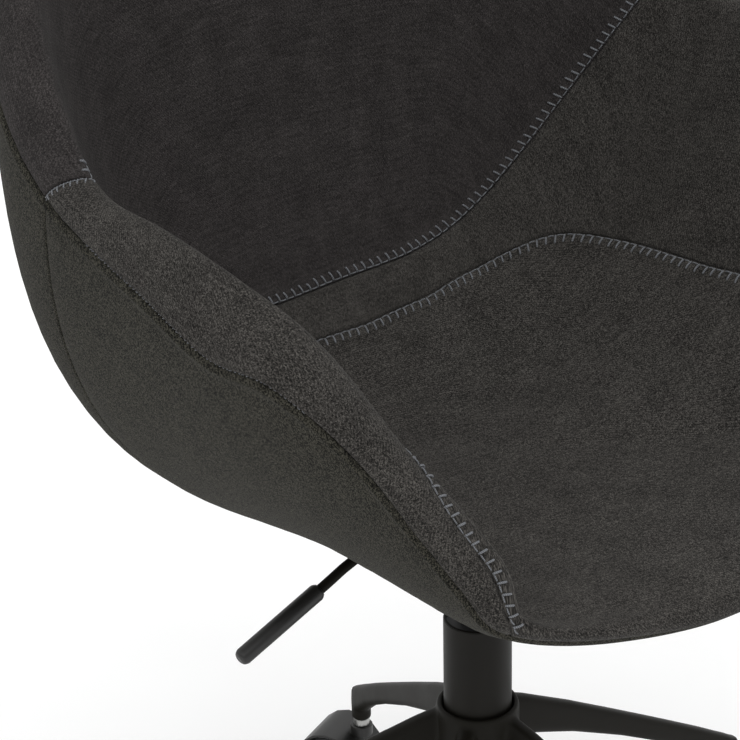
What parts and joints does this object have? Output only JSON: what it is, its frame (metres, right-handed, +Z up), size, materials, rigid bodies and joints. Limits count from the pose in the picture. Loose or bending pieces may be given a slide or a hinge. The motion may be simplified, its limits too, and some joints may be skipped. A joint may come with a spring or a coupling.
{
  "type": "swivel bucket chair",
  "caption": "Upholstered bucket-seat swivel chair with wrap-round arms, gas-lift column, side release lever and a five-star base on twin-wheel castors.",
  "frame": {"origin": "on the floor, under the column's axis", "axes": "+Z up, -Y the way the sitter faces, -X the sitter's right"},
  "size_m": [0.5984, 0.5913, 0.8646],
  "materials": {
    "charcoal_fabric": "matte",
    "outer_fabric": "matte",
    "moulded_core": "matte",
    "black_steel": "satin",
    "column_paint": "satin",
    "bright_steel": "satin",
    "black_plastic": "satin",
    "grey_plastic": "satin",
    "rubber": "matte"
  },
  "bodies": {
    "base": {"star_base": "black_steel", "outer_tube": "column_paint", "guide_bush": "grey_plastic"},
    "lift_rod": {"piston_rod": "bright_steel", "thrust_bearing": "bright_steel", "rubber_buffer": "rubber", "retaining_clip": "bright_steel"},
    "seat": {"gas_cylinder": "column_paint", "seat_plate": "black_steel", "mechanism_housing": "black_steel", "plate_bolt_1": "bright_steel", "plate_bolt_2": "bright_steel", "plate_bolt_3": "bright_steel", "plate_bolt_4": "bright_steel", "lever_pivot_pin": "bright_steel", "shell_core": "moulded_core", "seat_pad": "charcoal_fabric", "lower_back_band": "charcoal_fabric", "back_pad": "charcoal_fabric", "arm_pad_left": "charcoal_fabric", "arm_pad_right": "charcoal_fabric", "outer_arm_cover_left": "outer_fabric", "outer_arm_cover_right": "outer_fabric", "outer_back_cover": "outer_fabric", "underside_cover": "outer_fabric"},
    "lever": {"lever_rod": "black_steel", "lever_grip": "black_plastic"},
    "pin": {"release_pin": "bright_steel"},
    "castor_1": {"castor_1_stem": "bright_steel", "castor_1_hood": "black_plastic", "castor_1_axle": "bright_steel"},
    "castor_1_roller_a": {"castor_1_wheel_a": "grey_plastic"},
    "castor_1_roller_b": {"castor_1_wheel_b": "grey_plastic"},
    "castor_2": {"castor_2_stem": "bright_steel", "castor_2_hood": "black_plastic", "castor_2_axle": "bright_steel"},
    "castor_2_roller_a": {"castor_2_wheel_a": "grey_plastic"},
    "castor_2_roller_b": {"castor_2_wheel_b": "grey_plastic"},
    "castor_3": {"castor_3_stem": "bright_steel", "castor_3_hood": "black_plastic", "castor_3_axle": "bright_steel"},
    "castor_3_roller_a": {"castor_3_wheel_a": "grey_plastic"},
    "castor_3_roller_b": {"castor_3_wheel_b": "grey_plastic"},
    "castor_4": {"castor_4_stem": "bright_steel", "castor_4_hood": "black_plastic", "castor_4_axle": "bright_steel"},
    "castor_4_roller_a": {"castor_4_wheel_a": "grey_plastic"},
    "castor_4_roller_b": {"castor_4_wheel_b": "grey_plastic"},
    "castor_5": {"castor_5_stem": "bright_steel", "castor_5_hood": "black_plastic", "castor_5_axle": "bright_steel"},
    "castor_5_roller_a": {"castor_5_wheel_a": "grey_plastic"},
    "castor_5_roller_b": {"castor_5_wheel_b": "grey_plastic"}
  },
  "joints": [
    {"name": "seat_swivel", "type": "hinge", "parent": "base", "child": "lift_rod", "pos_m": [0, 0, 0.13], "axis": [0, 0, 1], "continuous": true},
    {"name": "seat_height", "type": "slide", "parent": "lift_rod", "child": "seat", "axis": [0, 0, 1], "range_m": [0, 0.1]},
    {"name": "lever_lift", "type": "hinge", "parent": "seat", "child": "lever", "pos_m": [-0.03, 0, 0.372], "axis": [0, 1, 0], "range_deg": [0, 5.6], "stiffness_Nm_per_rad": 2, "springref_deg": -3.44},
    {"name": "release_pin_press", "type": "slide", "parent": "seat", "child": "pin", "axis": [0, 0, -1], "range_m": [0, 0.0036]},
    {"name": "castor_1_swivel", "type": "hinge", "parent": "base", "child": "castor_1", "pos_m": [0.25481, -0.00979, 0.06], "axis": [0, 0, 1], "continuous": true},
    {"name": "castor_1_roll_a", "type": "hinge", "parent": "castor_1", "child": "castor_1_roller_a", "pos_m": [0.25134, 0.00991, 0.025], "axis": [-0.9848, -0.1736, 0], "continuous": true},
    {"name": "castor_1_roll_b", "type": "hinge", "parent": "castor_1", "child": "castor_1_roller_b", "pos_m": [0.25134, 0.00991, 0.025], "axis": [-0.9848, -0.1736, 0], "continuous": true},
    {"name": "castor_2_swivel", "type": "hinge", "parent": "base", "child": "castor_2", "pos_m": [0.08805, 0.23932, 0.06], "axis": [0, 0, 1], "continuous": true},
    {"name": "castor_2_roll_a", "type": "hinge", "parent": "castor_2", "child": "castor_2_roller_a", "pos_m": [0.08056, 0.25786, 0.025], "axis": [-0.9272, -0.3746, 0], "continuous": true},
    {"name": "castor_2_roll_b", "type": "hinge", "parent": "castor_2", "child": "castor_2_roller_b", "pos_m": [0.08056, 0.25786, 0.025], "axis": [-0.9272, -0.3746, 0], "continuous": true},
    {"name": "castor_3_swivel", "type": "hinge", "parent": "base", "child": "castor_3", "pos_m": [-0.20039, 0.15769, 0.06], "axis": [0, 0, 1], "continuous": true},
    {"name": "castor_3_roll_a", "type": "hinge", "parent": "castor_3", "child": "castor_3_roller_a", "pos_m": [-0.1816, 0.16453, 0.025], "axis": [-0.342, 0.9397, 0], "continuous": true},
    {"name": "castor_3_roll_b", "type": "hinge", "parent": "castor_3", "child": "castor_3_roller_b", "pos_m": [-0.1816, 0.16453, 0.025], "axis": [-0.342, 0.9397, 0], "continuous": true},
    {"name": "castor_4_swivel", "type": "hinge", "parent": "base", "child": "castor_4", "pos_m": [-0.2119, -0.14186, 0.06], "axis": [0, 0, 1], "continuous": true},
    {"name": "castor_4_roll_a", "type": "hinge", "parent": "castor_4", "child": "castor_4_roller_a", "pos_m": [-0.20377, -0.12358, 0.025], "axis": [-0.9135, 0.4067, 0], "continuous": true},
    {"name": "castor_4_roll_b", "type": "hinge", "parent": "castor_4", "child": "castor_4_roller_b", "pos_m": [-0.20377, -0.12358, 0.025], "axis": [-0.9135, 0.4067, 0], "continuous": true},
    {"name": "castor_5_swivel", "type": "hinge", "parent": "base", "child": "castor_5", "pos_m": [0.06943, -0.24537, 0.06], "axis": [0, 0, 1], "continuous": true},
    {"name": "castor_5_roll_a", "type": "hinge", "parent": "castor_5", "child": "castor_5_roller_a", "pos_m": [0.06259, -0.26416, 0.025], "axis": [0.9397, -0.342, 0], "continuous": true},
    {"name": "castor_5_roll_b", "type": "hinge", "parent": "castor_5", "child": "castor_5_roller_b", "pos_m": [0.06259, -0.26416, 0.025], "axis": [0.9397, -0.342, 0], "continuous": true}
  ],
  "couplings": [
    {"joint": "release_pin_press", "follows": "lever_lift", "m_per_rad": 0.035}
  ]
}
